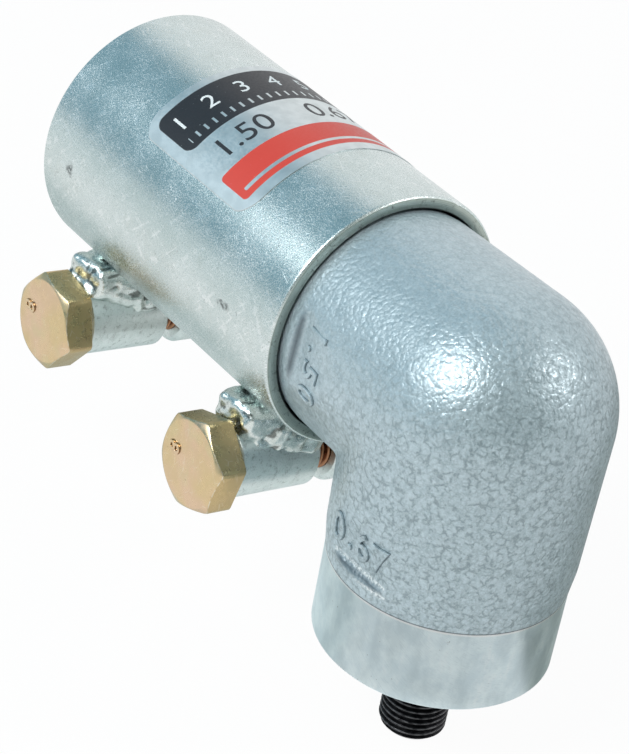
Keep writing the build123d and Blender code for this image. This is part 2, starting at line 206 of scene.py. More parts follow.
# Welds, with their foot and half width at places along them, and the spans that chance draws from
lug_r = 7.5 * MM
weld_seed = 11
weld_voxel = 0.26 * MM
weld_smooths = 26
weld_step = 1.15 * MM
weld_inner = 3.3 * MM
weld_outer = 19.6 * MM
weld_along = (0, 11 * MM, weld_outer)
weld_foot = (5.9 * MM, 5.3 * MM, 2.6 * MM)
weld_half_width = (7.4 * MM, 7.2 * MM, 4.4 * MM)
weld_rise = 5.0 * MM
weld_sink = 0.5 * MM
weld_overlap = 0.2 * MM
ripple_half = 1.2 * MM
ripple_power = 4
ripple_flare = 0.1
ripple_widths = (0.95, 1.04)
ripple_leans = (-0.3, 0.1)
ripple_twists = (-0.2, 0.2)
weld_drops = 6
drop_alongs = (0.55, 1.0)
drop_depths = (-0.6, 1.0)
drop_asides = (0.6, 1.0)
drop_radii = (1.0, 1.8)
flow_scale = Vector((0.4, 0.22, 0.4))
flow_height = 0.6 * MM
fine_scale = Vector((1.0, 0.4, 1.0))
fine_height = 0.08 * MM
# Painted shade in the weld's sunk hollows: weight of the broad flow, where it starts, how fast it deepens, and its
# most
hollow_shade_flow = 0.4
hollow_shade_start = 0.28
hollow_shade_gain = 4.0
hollow_shade_most = 0.8

# Label panels: start and end as shares of the label's length, inset at both sides, corner radius
label_margin = 2.4 * MM
black_panel = (0.055, 0.4, 0.0, 2.2 * MM)
tick_row = (0.31, 0.36, 2.0 * MM, 0.2 * MM)
tick_pitch = 2.0 * MM
tick_width = 0.45 * MM
red_band = (0.69, 0.93, 0.0, 1.0 * MM)
silver_line = (0.86, 0.885, 1.5 * MM, 0.3 * MM)
panel_blur = 0.07 * MM

# Label numbers, placed by degrees round the sleeve and shares of the label's length
print_height = 0.02 * MM
number_turns = (-40, -24, -8, 8, 24, 40)
number_share = 0.19
number_size = 5.6 * MM
ratios = (("label_ratio_high", "1.50", -26), ("label_ratio_low", "0.67", 20))
ratio_share = 0.55
ratio_size = 7.4 * MM


class Look:
    """One material: a Principled shader with short calls for the nodes that feed it."""

    def __init__(self, name, **constants):
        self.material = bpy.data.materials.new(name)
        self.material.use_nodes = True
        self.tree = self.material.node_tree
        self.tree.nodes.clear()
        output = self.tree.nodes.new("ShaderNodeOutputMaterial")
        self.shader = self.tree.nodes.new("ShaderNodeBsdfPrincipled")
        self.tree.links.new(self.shader.outputs[0], output.inputs[0])
        self.feed(**constants)
        place = self.tree.nodes.new("ShaderNodeTexCoord").outputs["Object"]
        self.mm = self.vector("SCALE", place, scale=1 / MM)

    def put(self, target, value):
        """Set a socket to a constant, or link it to another node's output."""
        if isinstance(value, bpy.types.NodeSocket):
            self.tree.links.new(value, target)
        elif isinstance(value, (tuple, list)) and len(value) == 3 and target.type == "RGBA":
            target.default_value = (*value, 1)
        else:
            target.default_value = value

    def feed(self, **inputs):
        """Feed the Principled shader's sockets."""
        for socket, value in inputs.items():
            self.put(self.shader.inputs[socket.replace("_", " ")], value)

    def vector(self, operation, a, b=None, scale=None):
        node = self.tree.nodes.new("ShaderNodeVectorMath")
        node.operation = operation
        self.put(node.inputs[0], a)
        if b is not None:
            self.put(node.inputs[1], b)
        if scale is not None:
            self.put(node.inputs["Scale"], scale)
        return node.outputs["Value" if operation == "LENGTH" else "Vector"]

    def math(self, operation, a, b=None, clamp=False):
        node = self.tree.nodes.new("ShaderNodeMath")
        node.operation = operation
        node.use_clamp = clamp
        self.put(node.inputs[0], a)
        if b is not None:
            self.put(node.inputs[1], b)
        return node.outputs[0]

    def part(self, axis):
        """One coordinate of the place, in millimetres."""
        node = self.tree.nodes.new("ShaderNodeSeparateXYZ")
        self.put(node.inputs[0], self.mm)
        return node.outputs[axis]

    def join(self, x, y, z):
        node = self.tree.nodes.new("ShaderNodeCombineXYZ")
        for socket, value in zip(node.inputs, (x, y, z)):
            self.put(socket, value)
        return node.outputs[0]

    def noise(self, scale, detail=2.0, rough=0.5, place=None):
        node = self.tree.nodes.new("ShaderNodeTexNoise")
        self.put(node.inputs["Vector"], place or self.mm)
        self.put(node.inputs["Scale"], scale)
        self.put(node.inputs["Detail"], detail)
        self.put(node.inputs["Roughness"], rough)
        return node.outputs["Fac"]

    def shaken(self, scale, amount, place=None):
        """The place in millimetres, shaken by noise."""
        place = place or self.mm
        node = self.tree.nodes.new("ShaderNodeTexNoise")
        self.put(node.inputs["Vector"], place)
        self.put(node.inputs["Scale"], scale)
        middle = self.vector("SUBTRACT", node.outputs["Color"], (0.5, 0.5, 0.5))
        return self.vector("ADD", place, self.vector("SCALE", middle, scale=amount))

    def cells(self, scale, feature, place, smooth=None):
        node = self.tree.nodes.new("ShaderNodeTexVoronoi")
        node.feature = feature
        self.put(node.inputs["Vector"], place)
        self.put(node.inputs["Scale"], scale)
        if smooth is not None:
            self.put(node.inputs["Smoothness"], smooth)
        return node.outputs["Distance"]

    def span(self, value, low, high, out_low=0.0, out_high=1.0):
        """Map a value from one span to another, held at the ends."""
        node = self.tree.nodes.new("ShaderNodeMapRange")
        node.interpolation_type = "SMOOTHSTEP"
        for socket, number in zip(node.inputs, (value, low, high, out_low, out_high)):
            self.put(socket, number)
        return node.outputs[0]

    def mix(self, share, a, b):
        node = self.tree.nodes.new("ShaderNodeMix")
        node.data_type = "RGBA"
        self.put(node.inputs["Factor"], share)
        self.put(node.inputs[6], a)
        self.put(node.inputs[7], b)
        return node.outputs[2]

    def attribute(self, name):
        node = self.tree.nodes.new("ShaderNodeAttribute")
        node.attribute_name = name
        return node.outputs["Fac"]

    def bump(self, height, distance, strength=1.0, under=None):
        node = self.tree.nodes.new("ShaderNodeBump")
        self.put(node.inputs["Height"], height)
        self.put(node.inputs["Distance"], distance)
        self.put(node.inputs["Strength"], strength)
        if under is not None:
            self.put(node.inputs["Normal"], under)
        return node.outputs[0]

    def around(self, radius):
        """The way round a tube that lies along X, in millimetres."""
        turn = self.math("ARCTAN2", self.part("Y"), self.part("Z"))
        return self.math("MULTIPLY", turn, radius)

    def scratches(self, angle, scale, width, sheet=None):
        """Thin broken scratches in one direction, as a mask, in space or on a flat sheet."""
        node = self.tree.nodes.new("ShaderNodeVectorRotate")
        node.rotation_type = "EULER_XYZ"
        self.put(node.inputs["Vector"], sheet or self.mm)
        self.put(node.inputs["Rotation"], (0, 0, angle) if sheet else (angle, angle * 0.7, angle * 1.3))
        long_cells = self.vector("MULTIPLY", node.outputs[0], (0.05, 1.0, 1.0))
        line = self.span(self.cells(scale, "DISTANCE_TO_EDGE", long_cells), 0.0, width, 1.0, 0.0)
        broken = self.span(self.noise(0.45, 4.0, 0.65), 0.5, 0.6)
        return self.math("MULTIPLY", line, broken)

    def leg_height(self):
        """Distance from the elbow along whichever leg reaches further, in millimetres."""
        along_input = self.math("SUBTRACT", elbow.x / MM, self.part("X"))
        along_output = self.math("MULTIPLY", self.part("Z"), -1.0)
        return self.math("MAXIMUM", along_input, along_output)


def turned_end(look, tone, dull, end):
    """A tube's tone and roughness with a dull, pitted cut face at its end, and painted shade darkening the bore
    behind it.
    """
    x = look.part("X")
    from_axis = look.vector("LENGTH", look.join(0.0, look.part("Y"), look.part("Z")))
    rings = look.noise(4.0, 3.0, 0.6, look.join(from_axis, 0.0, 0.0))
    face = look.mix(look.span(rings, 0.35, 0.65), (0.36, 0.42, 0.38), (0.58, 0.64, 0.60))
    pits = look.span(look.noise(1.2, 4.0, 0.7), 0.56, 0.68, 0.0, 0.75)
    face = look.mix(pits, face, (0.12, 0.13, 0.12))
    on_face = look.span(x, end - 0.12, end - 0.05)
    tone = look.mix(on_face, tone, face)
    # Painted shade: the bore goes near-black for the last few millimetres behind the mouth
    bore_shade = look.span(from_axis, mouth_r / MM + 0.05, mouth_r / MM + 0.3, 1.0, 0.0)
    bore_shade = look.math("MULTIPLY", bore_shade, look.span(x, end - 12.0, end - 7.0))
    tone = look.mix(bore_shade, tone, (0.03, 0.034, 0.032))
    return tone, look.math("ADD", dull, look.math("MULTIPLY", on_face, 0.22))


def zinc_look(name, colour, shade, rough, scuffs=(), sparkle=0.018, end=None, hollow_shading=False, grime=0.0):
    """Bright zinc plate: sparkling grain, stains, scratches and scuffs, painted shade in weld hollows, and the cut
    end of a tube with painted shade down its bore.
    """
    look = Look(name, Metallic=1.0)
    cloud = look.noise(0.1, 4.0, 0.62)
    tone = look.mix(look.span(cloud, 0.36, 0.66), colour, shade)
    stains = look.span(look.noise(0.33, 4.0, 0.6), 0.5, 0.72, 0.0, 0.35)
    tone = look.mix(stains, tone, (0.50, 0.56, 0.53))
    grain = look.noise(4.2, 2.0, 0.6)
    glints = look.span(grain, 0.52, 0.7, 0.0, 0.4)
    tone = look.mix(glints, tone, (0.86, 0.90, 0.90))
    dips = look.span(grain, 0.3, 0.45, 0.35, 0.0)
    tone = look.mix(dips, tone, (0.34, 0.42, 0.46))
    specks = look.span(look.noise(1.4, 2.0), 0.7, 0.77, 0.0, 0.6)
    tone = look.mix(specks, tone, (0.16, 0.18, 0.17))
    if grime:
        dirt = look.span(look.noise(0.8, 5.0, 0.75), 0.52, 0.68, 0.0, grime)
        tone = look.mix(dirt, tone, (0.22, 0.25, 0.23))
    flecks = look.span(look.noise(5.5, 2.0, 0.65), 0.54, 0.62)
    flecks = look.math("MULTIPLY", flecks, look.span(cloud, 0.3, 0.7, 0.5, 1.0))
    tone = look.mix(flecks, tone, (0.88, 0.92, 0.92))
    sheet = None
    if end is not None:
        sheet = look.join(look.part("X"), look.around(sleeve_r / MM), 0.0)
    marks = [look.scratches(angle, 0.38, 0.05, sheet) for angle in (0.4, -0.85)]
    marks = look.math("ADD", *marks, clamp=True)
    tone = look.mix(look.math("MULTIPLY", marks, 0.45), tone, (0.92, 0.95, 0.95))
    if hollow_shading:
        # Painted shade: near-black in the weld's sunk hollows
        tone = look.mix(look.attribute("hollow_shade"), tone, (0.09, 0.10, 0.09))
    for place, size in scuffs:
        offset = look.vector("DIVIDE", look.vector("SUBTRACT", look.shaken(0.7, 3.0), place), size)
        scuff = look.span(look.vector("LENGTH", offset), 0.3, 1.2, 0.9, 0.0)
        scuff = look.math("MULTIPLY", scuff, look.span(look.noise(1.8, 3.0), 0.35, 0.6, 0.25, 1.0))
        tone = look.mix(scuff, tone, (0.13, 0.15, 0.15))
    dull = look.span(cloud, 0.3, 0.7, rough - 0.02, rough + 0.03)
    dull = look.math("ADD", dull, look.math("MULTIPLY", flecks, 0.36))
    if end is not None:
        tone, dull = turned_end(look, tone, dull, end)
    look.feed(Base_Color=tone, Roughness=dull)
    waves = look.bump(look.noise(0.2, 2.0), 0.06 * MM, 0.25)
    relief = look.math("ADD", grain, look.math("MULTIPLY", marks, -0.4))
    look.feed(Normal=look.bump(relief, sparkle * MM, 1.0, waves))
    return look.material


def hammer_paint_look(name):
    """Blue-grey hammer paint: pebbled and full of flakes, with broken veins painted stronger on the shaded side,
    painted shade at pad steps, round the cast numbers and at the collar edge, and painted highlights at the output
    pad's step.
    """
    look = Look(name, Metallic=0.5, Coat_Weight=0.32, Coat_Roughness=0.27)
    place = look.shaken(2.2, 0.5, look.shaken(1.2, 0.7, look.shaken(0.5, 1.2)))
    fine_place = look.shaken(1.1, 0.6)
    coarse_cells = 0.62
    fine_cells = 1.25
    edge = look.cells(coarse_cells, "DISTANCE_TO_EDGE", place)
    broken = look.span(look.noise(0.9, 3.0), 0.38, 0.6, 0.1, 1.0)
    coarse = look.math("MULTIPLY", look.span(edge, 0.0, 0.24, 1.0, 0.0), broken)
    fine_edge = look.cells(fine_cells, "DISTANCE_TO_EDGE", fine_place)
    patchy = look.span(look.noise(0.6, 3.0), 0.4, 0.6)
    fine = look.math("MULTIPLY", look.span(fine_edge, 0.0, 0.26, 0.5, 0.0), patchy)
    veins = look.math("MAXIMUM", coarse, fine)
    # Painted shade: the paint's own veins are made stronger towards the bottom and the +X side of the head
    shaded_side = look.math("SUBTRACT", look.math("SUBTRACT", look.part("X"), elbow.x / MM), look.part("Z"))
    shaded_side = look.math("ADD", shaded_side, look.math("MULTIPLY", look.noise(0.07, 2.0), 16.0))
    veins = look.math("MULTIPLY", veins, look.span(shaded_side, -22.0, 18.0, 0.16, 0.56))
    cloud = look.span(look.noise(0.5, 3.0), 0.3, 0.7)
    tone = look.mix(cloud, (0.375, 0.462, 0.494), (0.435, 0.524, 0.556))
    flakes = look.span(look.noise(2.6, 3.0, 0.75), 0.35, 0.65, 0.0, 0.6)
    tone = look.mix(flakes, tone, (0.58, 0.668, 0.708))
    tone = look.mix(veins, tone, (0.115, 0.155, 0.165))
    # Painted shade: darker along the pad steps and round the feet of the cast numbers
    tone = look.mix(look.attribute("pool"), tone, (0.12, 0.155, 0.175))
    # Painted highlight: pale specks along the output pad's corner and lip, carried by the worn attribute
    specks = look.span(look.noise(2.2, 2.0), 0.42, 0.58, 0.1, 1.0)
    bare = look.math("MULTIPLY", look.attribute("worn"), specks)
    tone = look.mix(bare, tone, (0.86, 0.90, 0.90))
    # Painted shade: a thin dark line on the paint just before the collar starts
    rim = look.span(look.leg_height(), collar_start / MM - 0.35, collar_start / MM - 0.1, 0.0, 0.85)
    tone = look.mix(rim, tone, (0.06, 0.07, 0.08))
    look.feed(Base_Color=tone, Roughness=look.span(edge, 0.0, 0.3, 0.44, 0.3))
    skin = look.math("MULTIPLY", look.noise(2.3, 1.0), 0.4)
    for scale, weight, where in ((coarse_cells, -0.6, place), (fine_cells, -1.1, fine_place)):
        from_middle = look.cells(scale, "SMOOTH_F1", where, smooth=0.4)
        dome = look.math("MULTIPLY", look.math("POWER", from_middle, 2.0), weight)
        skin = look.math("ADD", skin, dome)
    relief = look.bump(skin, 0.1 * MM, 1.0)
    look.feed(Normal=relief, Coat_Normal=relief)
    return look.material


def turned_aluminium_look(name):
    """Bare turned aluminium: tool marks round each leg's axis, soft streaks across them, and a painted highlight
    along the top edge.
    """
    look = Look(name, Metallic=1.0)
    cloud = look.span(look.noise(0.2, 4.0, 0.65), 0.35, 0.66)
    tone = look.mix(cloud, (0.68, 0.81, 0.85), (0.80, 0.92, 0.94))
    streak = look.noise(0.34, 4.0, 0.6, look.vector("MULTIPLY", look.mm, (0.8, 0.8, 0.3)))
    dark_streaks = look.span(streak, 0.42, 0.66, 0.0, 0.4)
    tone = look.mix(dark_streaks, tone, (0.52, 0.65, 0.69))
    pale_streaks = look.span(streak, 0.28, 0.44, 0.45, 0.0)
    tone = look.mix(pale_streaks, tone, (0.90, 0.96, 0.96))
    along = look.math("ADD", look.part("X"), look.part("Z"))
    lathe = look.noise(1.0, 3.0, 0.6, look.join(look.math("MULTIPLY", along, 4.0), look.part("Y"), 0.0))
    grooves = look.span(lathe, 0.5, 0.7, 0.0, 0.35)
    tone = look.mix(grooves, tone, (0.54, 0.66, 0.70))
    nicks = look.span(look.noise(1.3, 2.0), 0.72, 0.8, 0.0, 0.6)
    tone = look.mix(nicks, tone, (0.24, 0.26, 0.27))
    start = collar_start / MM
    # Painted highlight: a pale line along the collar's top edge
    edge_highlight = look.span(look.leg_height(), start + 0.2, start + 0.6, 0.75, 0.0)
    tone = look.mix(edge_highlight, tone, (0.96, 0.98, 0.97))
    look.feed(Base_Color=tone, Roughness=look.span(streak, 0.3, 0.7, 0.42, 0.34))
    look.feed(Normal=look.bump(lathe, 0.012 * MM, 0.8))
    return look.material


def chromate_look(name):
    """Yellow chromate over zinc: gold-beige with a faint bloom, painted shade on the hexagon's flats and round the
    stamped number, and rusty threads.
    """
    look = Look(name, Metallic=1.0)
    bloom = look.span(look.noise(0.13, 1.0), 0.35, 0.65)
    tone = look.mix(bloom, (0.68, 0.53, 0.30), (0.72, 0.53, 0.36))
    greenish = look.span(look.noise(0.22, 2.0), 0.5, 0.75, 0.0, 0.5)
    tone = look.mix(greenish, tone, (0.64, 0.57, 0.33))
    # Painted shade: the hexagon's flats are darker than its face and chamfer
    flank_shades = look.math("MULTIPLY", look.attribute("flank_shade"), 0.8)
    tone = look.mix(flank_shades, tone, (0.51, 0.385, 0.19))
    wear = look.span(look.noise(0.9, 3.0), 0.4, 0.6, 0.1, 0.9)
    rubbed = look.math("MULTIPLY", look.attribute("brim"), wear)
    tone = look.mix(rubbed, tone, (0.84, 0.80, 0.68))
    dirt = look.span(look.noise(1.5, 3.0), 0.66, 0.8, 0.0, 0.5)
    tone = look.mix(dirt, tone, (0.26, 0.19, 0.10))
    marks = look.scratches(1.1, 0.5, 0.03)
    tone = look.mix(look.math("MULTIPLY", marks, 0.35), tone, (0.88, 0.80, 0.64))
    # Rust on the threads, darker at their roots; the stamp's foot reuses it as painted shade
    rust_and_foot_shade = look.mix(look.attribute("root"), (0.46, 0.22, 0.12), (0.10, 0.04, 0.02))
    tone = look.mix(look.attribute("threaded"), tone, rust_and_foot_shade)
    look.feed(Base_Color=tone, Roughness=look.span(look.noise(0.7, 3.0), 0.3, 0.7, 0.24, 0.36))
    look.feed(Normal=look.bump(look.noise(2.2, 2.0), 0.01 * MM, 0.6))
    return look.material


def black_oxide_look(name):
    """Black oxide with bare bright wear on the thread crests."""
    look = Look(name, Metallic=0.85)
    cloud = look.noise(0.8, 3.0)
    tone = look.mix(look.span(cloud, 0.35, 0.7), (0.012, 0.012, 0.014), (0.028, 0.028, 0.031))
    crest = look.span(look.attribute("crest"), 0.75, 1.0)
    worn = look.math("MULTIPLY", crest, look.span(cloud, 0.3, 0.65, 0.03, 0.35))
    tone = look.mix(worn, tone, (0.30, 0.30, 0.31))
    look.feed(Base_Color=tone, Roughness=look.span(cloud, 0.3, 0.7, 0.3, 0.45))
    look.feed(Normal=look.bump(look.noise(5.0, 2.0), 0.01 * MM, 0.4))
    return look.material


def foil_look(name):
    """Printed silver foil: a black panel with a tick scale, and a red band with a silver line."""
    look = Look(name)
    blur = panel_blur / MM
    length = (label_high.x - label_low.x) / MM
    round_r = sleeve_r / MM
    half = round_r * atan2(label_high.y, sqrt(label_high.z**2 - label_high.y**2)) - label_margin / MM
    v = look.math("SUBTRACT", look.part("X"), label_low.x / MM)
    u = look.around(round_r)

    def panel(start, end, inset, corner):
        """A rectangle with round corners, centred over the sleeve, as a mask."""
        side = half - inset / MM
        corner = corner / MM
        beyond = []
        for value, low, high in ((u, -side, side), (v, start * length, end * length)):
            offset = look.math("ABSOLUTE", look.math("SUBTRACT", value, (low + high) / 2))
            past = look.math("SUBTRACT", offset, (high - low) / 2 - corner)
            beyond.append(look.math("MAXIMUM", past, 0.0))
        reach = look.vector("LENGTH", look.join(beyond[0], beyond[1], 0.0))
        return look.span(reach, corner - blur, corner + blur, 1.0, 0.0)

    turns = look.math("FRACT", look.math("DIVIDE", u, tick_pitch / MM))
    from_tick = look.math("ABSOLUTE", look.math("SUBTRACT", turns, 0.5))
    tick_half = tick_width / tick_pitch / 2
    tick_blur = panel_blur / tick_pitch
    ticks = look.span(from_tick, tick_half - tick_blur, tick_half + tick_blur, 1.0, 0.0)
    ticks = look.math("MULTIPLY", ticks, panel(*tick_row))
    black = look.math("MULTIPLY", panel(*black_panel), look.math("SUBTRACT", 1.0, ticks))
    red = look.math("MULTIPLY", panel(*red_band), look.math("SUBTRACT", 1.0, panel(*silver_line)))
    foil = look.mix(look.span(look.noise(0.4, 3.0), 0.3, 0.7), (0.62, 0.67, 0.68), (0.72, 0.77, 0.78))
    worn = look.span(look.noise(1.6, 4.0, 0.7), 0.68, 0.74, 0.0, 0.5)
    kept = look.math("SUBTRACT", 1.0, worn)
    black = look.math("MULTIPLY", black, kept)
    red = look.math("MULTIPLY", red, kept)
    tone = look.mix(red, foil, (0.66, 0.06, 0.04))
    tone = look.mix(black, tone, (0.016, 0.017, 0.022))
    ink = look.math("ADD", red, black, clamp=True)
    look.feed(Base_Color=tone, Metallic=look.math("SUBTRACT", 1.0, ink))
    look.feed(Roughness=look.span(look.noise(2.0, 2.0), 0.3, 0.7, 0.36, 0.46))
    look.feed(Normal=look.bump(look.noise(0.9, 2.0), 0.02 * MM, 0.5))
    return look.material


def ink_look(name, colour):
    """Printed ink, a little worn."""
    look = Look(name)
    wear = look.span(look.noise(1.6, 4.0, 0.7), 0.62, 0.75, 0.0, 0.4)
    look.feed(Base_Color=look.mix(wear, colour, (0.42, 0.44, 0.46)))
    look.feed(Roughness=look.span(look.noise(3.0), 0.3, 0.7, 0.35, 0.5))
    return look.material


def steel_look(name, colour, shade, rough, metal=1.0):
    """Plain machined steel, brass or rubber: fine marks and an oily bloom."""
    look = Look(name, Metallic=metal)
    cloud = look.noise(0.3, 4.0, 0.6)
    look.feed(Base_Color=look.mix(look.span(cloud, 0.35, 0.68), colour, shade))
    look.feed(Roughness=look.span(cloud, 0.3, 0.7, rough, rough + 0.15))
    look.feed(Normal=look.bump(look.noise(4.0, 2.0), 0.01 * MM, 0.4))
    return look.material


def placed(name, data):
    """A new object in the scene."""
    made = bpy.data.objects.new(name, data)
    bpy.context.scene.collection.objects.link(made)
    return made


def piece(name, mesh, material, body, sharp=sharp_edge):
    """A new object in the row frame that rides on a body."""
    mesh.materials.clear()
    mesh.materials.append(material)
    mesh.shade_smooth()
    mesh.set_sharp_from_angle(angle=sharp)
    made = placed(name, mesh)
    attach(made, body)
    return made


def solid_of(node):
    """A CAD node's mesh as a closed bmesh."""
    work = bmesh.new()
    work.from_mesh(nodes[node].data)
    bmesh.ops.remove_doubles(work, verts=work.verts, dist=same_point)
    return work


def cut(work, place, normal):
    """Cut a closed bmesh by a plane, drop what lies on the normal's side and close the cut."""
    geometry = work.verts[:] + work.edges[:] + work.faces[:]
    result = bmesh.ops.bisect_plane(
        work, geom=geometry, dist=cut_tolerance, plane_co=place, plane_no=normal, clear_outer=True
    )
    edges = [item for item in result["geom_cut"] if isinstance(item, bmesh.types.BMEdge)]
    bmesh.ops.triangle_fill(work, edges=edges, use_beauty=True)


def mesh_of(work, name):
    mesh = bpy.data.meshes.new(name)
    bmesh.ops.recalc_face_normals(work, faces=work.faces)
    work.to_mesh(mesh)
    work.free()
    return mesh


def evaluated(holder):
    """The mesh that an object's curve or modifiers make."""
    mesh = bpy.data.meshes.new_from_object(holder.evaluated_get(bpy.context.evaluated_depsgraph_get()))
    bpy.data.objects.remove(holder)
    return mesh


def remeshed(mesh, voxel):
    """A voxel remesh of a mesh."""
    holder = placed("holder", mesh)
    modifier = holder.modifiers.new("remesh", "REMESH")
    modifier.mode = "VOXEL"
    modifier.voxel_size = voxel
    return evaluated(holder)


def smoothed(work, verts, times):
    axes = {f"use_axis_{axis}": True for axis in "xyz"}
    for _ in range(times):
        bmesh.ops.smooth_vert(work, verts=verts, factor=0.5, **axes)


def ring_mesh(points, name):
    """A closed mesh from rings of points, an array of rings by segments by 3."""
    rings, count, _ = points.shape
    faces = []
    for low in range(0, (rings - 1) * count, count):
        high = low + count
        for k in range(count):
            after = (k + 1) % count
            faces.append((low + k, low + after, high + after, high + k))
    faces.append(tuple(reversed(range(count))))
    faces.append(tuple((rings - 1) * count + k for k in range(count)))
    mesh = bpy.data.meshes.new(name)
    mesh.from_pydata(points.reshape(-1, 3).tolist(), [], faces)
    return mesh


def joined(*meshes):
    """Several meshes as one, keeping their attributes."""
    made = [placed("part", mesh) for mesh in meshes]
    with bpy.context.temp_override(active_object=made[0], selected_editable_objects=made):
        bpy.ops.object.join()
    result = made[0].data
    bpy.data.objects.remove(made[0])
    return result


def facing(direction):
    """A rotation that turns local Z to a direction."""
    return direction.to_track_quat("Z", "Y").to_matrix().to_4x4()


# Camera
camera_up = camera_back.cross(camera_right)
camera_data = bpy.data.cameras.new("camera")
camera_data.lens = camera_lens
camera_data.sensor_width = camera_sensor
camera_data.clip_start = camera_clip
camera = placed("camera", camera_data)
camera_turn = Matrix((camera_right, camera_up, camera_back)).transposed().to_4x4()
camera.matrix_world = Matrix.Translation(camera_place) @ camera_turn
bpy.context.scene.camera = camera
bpy.context.scene.view_settings.view_transform = "Standard"

# Materials by the record's slots
looks = {
    "zinc_sleeve": zinc_look(
        "zinc_sleeve",
        (0.56, 0.645, 0.635),
        (0.62, 0.695, 0.685),
        0.24,
        sparkle=0.04,
        end=sleeve_high.x / MM,
        scuffs=sleeve_scuffs,
    ),
    "zinc_lug": zinc_look("zinc_lug", (0.80, 0.87, 0.85), (0.68, 0.75, 0.73), 0.36, grime=0.6),
    "weld_metal": zinc_look("weld_metal", (0.74, 0.80, 0.77), (0.52, 0.58, 0.55), 0.2, hollow_shading=True),
    "printed_foil": foil_look("printed_foil"),
    "yellow_zinc": chromate_look("yellow_zinc"),
    "hammer_painted_casting": hammer_paint_look("hammer_paint"),
    "gear_steel": steel_look("gear_steel", (0.36, 0.36, 0.37), (0.46, 0.46, 0.47), 0.28),
    "black_oxide_steel": black_oxide_look("black_oxide"),
    "coupling_steel": steel_look("coupling_steel", (0.07, 0.07, 0.075), (0.12, 0.12, 0.125), 0.32),
    "bearing_steel": steel_look("bearing_steel", (0.66, 0.66, 0.67), (0.74, 0.74, 0.75), 0.14),
    "cage_brass": steel_look("cage_brass", (0.66, 0.48, 0.22), (0.74, 0.57, 0.30), 0.25),
    "plain_steel": steel_look("plain_steel", (0.30, 0.30, 0.31), (0.42, 0.42, 0.43), 0.3),
    "seal_rubber": steel_look("seal_rubber", (0.02, 0.02, 0.021), (0.045, 0.045, 0.047), 0.5, metal=0.0),
}
bare_aluminium = turned_aluminium_look("bare_aluminium")
white_ink = ink_look("white_ink", (0.78, 0.80, 0.80))
black_ink = ink_look("black_ink", (0.02, 0.021, 0.026))
for subpart in frame["record"]["subparts"]:
    node = nodes[subpart["node"]]
    node.data.materials.clear()
    node.data.materials.append(looks[subpart["material_slot"]])

# Sleeve with its mouth closed to a thin gap round the head
sleeve = solid_of("clamp_sleeve")
for vert in sleeve.verts:
    r = Vector((vert.co.y, vert.co.z)).length
    if vert.co.x > sleeve_high.x - mouth_depth and r < mouth_r + mouth_edge:
        vert.co.y *= mouth_r / r
        vert.co.z *= mouth_r / r
sleeve_mesh = mesh_of(sleeve, "zinc_sleeve")
made = piece("zinc_sleeve", sleeve_mesh, looks["zinc_sleeve"], "sleeve")
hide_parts("clamp_sleeve")


# Head: the painted casting with softened edges, and its two bare collars
def bell(values, middle, width):
    return np.exp(-(((values - middle) / width) ** 2))


casting = bmesh.new()
casting.from_mesh(remeshed(mesh_of(solid_of("angle_housing"), "housing"), casting_voxel))
offsets = np.array([vert.co[:] for vert in casting.verts]) - np.array(elbow)
heights = offsets @ np.array([input_axis[:], output_axis[:]]).T
on_skin = np.ones(len(offsets), bool)
for k, axis in enumerate((input_axis, output_axis)):
    along = np.maximum(heights[:, k], 0)[:, None] * np.array(axis)
    on_skin &= np.linalg.norm(offsets - along, axis=1) > cavity_r
in_corner = on_skin & (heights.min(1) > 0) & (np.abs(heights[:, 0] - heights[:, 1]) < corner_width)
pool = np.zeros(len(offsets))
worn = np.zeros(len(offsets))
pads = ((input_axis, input_pad, False), (output_axis, output_pad, True))
for k, (axis, pad, has_glint) in enumerate(pads):
    turn, pad_top, pad_floor, pad_lip = pad
    outward = np.array(Matrix.Rotation(turn, 3, axis) @ Vector((0, -1, 0)))
    height = heights[:, k]
    on_pad = on_skin & (height > pad_top[0]) & (height < collar_start)
    on_pad &= offsets @ outward > pad_side_share * pad_floor[1]
    spoke = offsets - height[:, None] * np.array(axis)
    full_r = np.interp(height, *zip(*leg_taper))
    lift = (full_r / np.linalg.norm(spoke, axis=1) - 1) * on_pad
    offsets += lift[:, None] * spoke
    floor = np.interp(height, *zip(pad_top, pad_floor, pad_lip))
    depth = np.maximum(offsets @ outward - floor, 0) * on_pad * (height < pad_lip[0])
    across = offsets @ np.cross(axis, outward)
    corner_depth = np.sqrt(np.maximum(pad_lip[1] ** 2 - across**2, 0)) - pad_floor[1]
    step_share = (height - pad_floor[0]) / (pad_lip[0] - pad_floor[0])
    # Painted shade: a dark line along the pad's step, fading where the step is shallow
    line = bell(step_share, *pool_line) * np.clip(corner_depth / pool_fade, 0, 1)
    pool = np.maximum(pool, line * on_pad)
    # Painted highlights: pale specks at the step's corner, and along its lip towards the right on the output leg
    corner = bell(step_share, *glint_corner) * (corner_depth > pad_edge)
    to_right = np.clip(glint_lip_share - across / glint_lip_fade, 0, 1)
    lip = bell(step_share, *glint_lip) * to_right * (corner_depth > -pad_edge)
    worn = np.maximum(worn, np.maximum(corner, lip) * on_pad * has_glint)
    offsets -= depth[:, None] * outward
